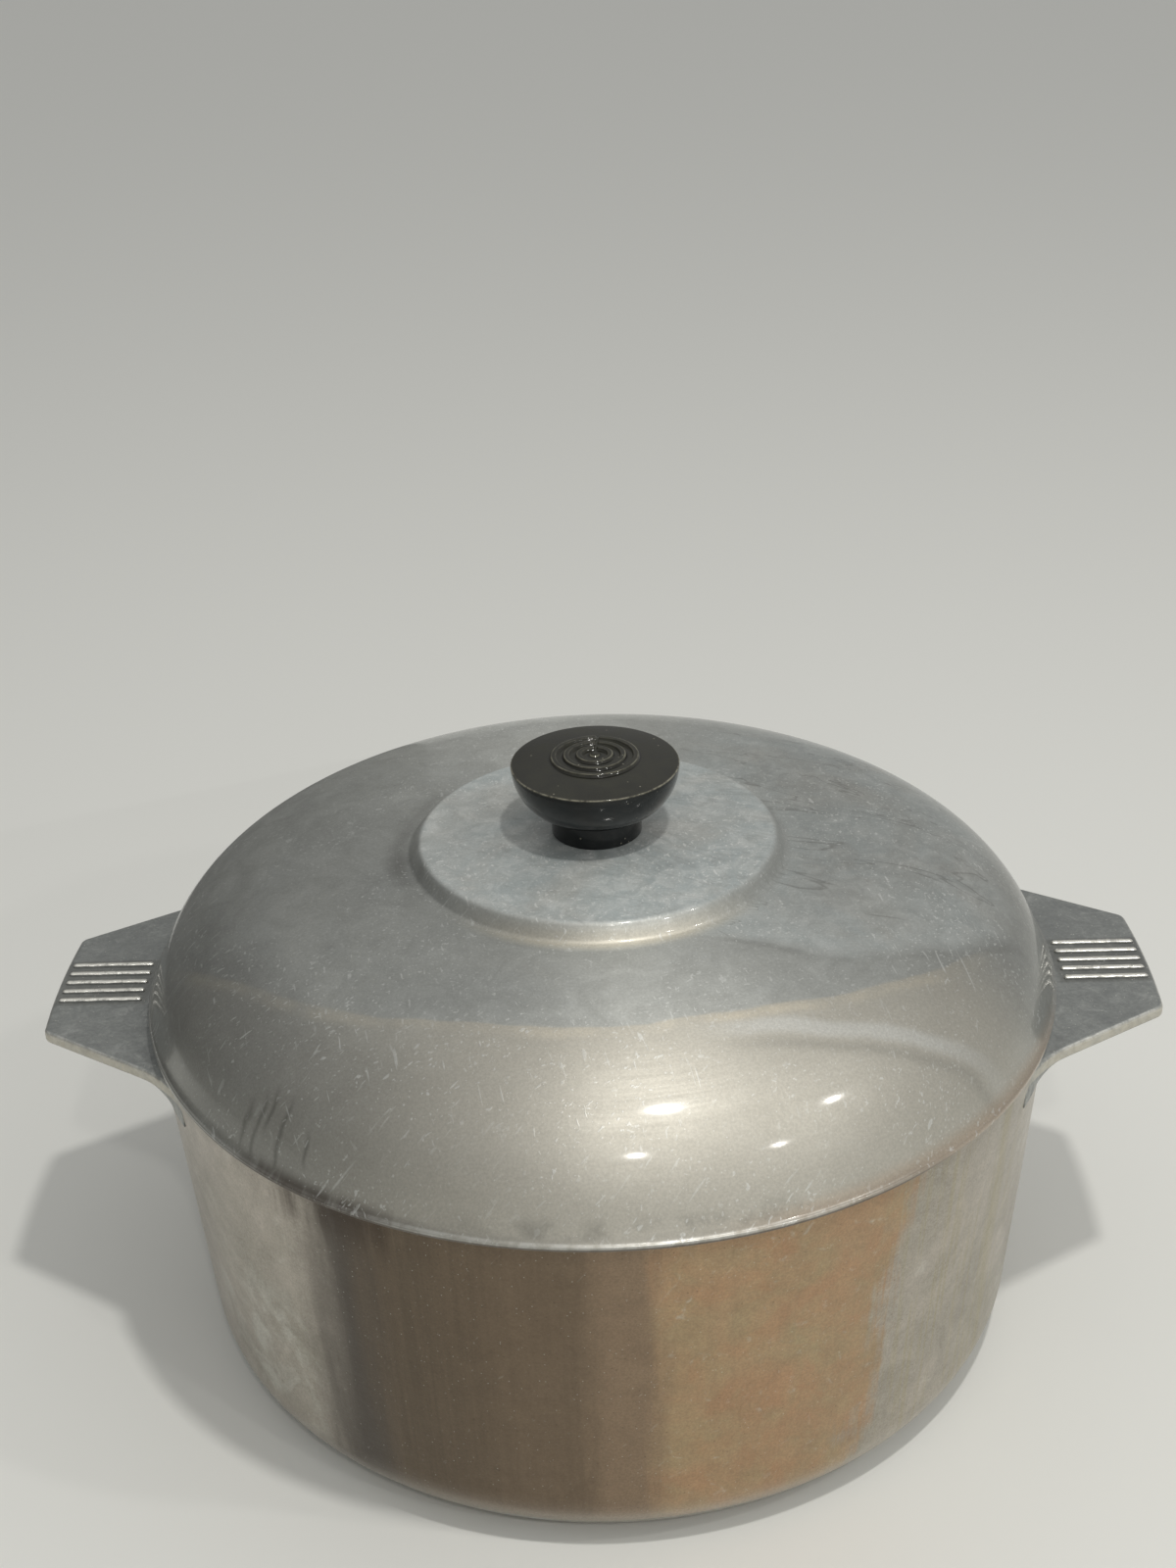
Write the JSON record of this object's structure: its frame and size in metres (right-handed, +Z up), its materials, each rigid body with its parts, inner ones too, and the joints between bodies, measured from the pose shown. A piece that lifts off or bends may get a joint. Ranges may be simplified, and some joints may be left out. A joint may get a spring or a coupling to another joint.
{
  "type": "covered pot",
  "caption": "Round cast-aluminium covered pot with ribbed lug handles, a domed lid with a raised centre, and a moulded knob.",
  "frame": {"origin": "centre of the pot's flat base", "axes": "+Z up along the pot's axis, X along the two handles, Y across them"},
  "size_m": [0.318, 0.26, 0.1745],
  "materials": {
    "pot_casting": "worn satin with brown heat patina",
    "lid_casting": "worn satin, dulled and lightly scratched",
    "phenolic": "satin, with rubbed edges",
    "brass": "machined",
    "steel": "plated, satin"
  },
  "bodies": {
    "pot": {"pot": "pot_casting"},
    "washer": {"knob_washer": "steel"},
    "lid": {"lid": "lid_casting", "knob": "phenolic", "knob_insert": "brass", "knob_screw": "steel"}
  },
  "joints": [
    {"name": "lid_lift", "type": "slide", "parent": "pot", "child": "washer", "axis": [0, 0, 1], "range_m": [0, 0.2]},
    {"name": "lid_turn", "type": "hinge", "parent": "washer", "child": "lid", "pos_m": [0, 0, 0.107], "axis": [0, 0, 1], "continuous": true}
  ]
}
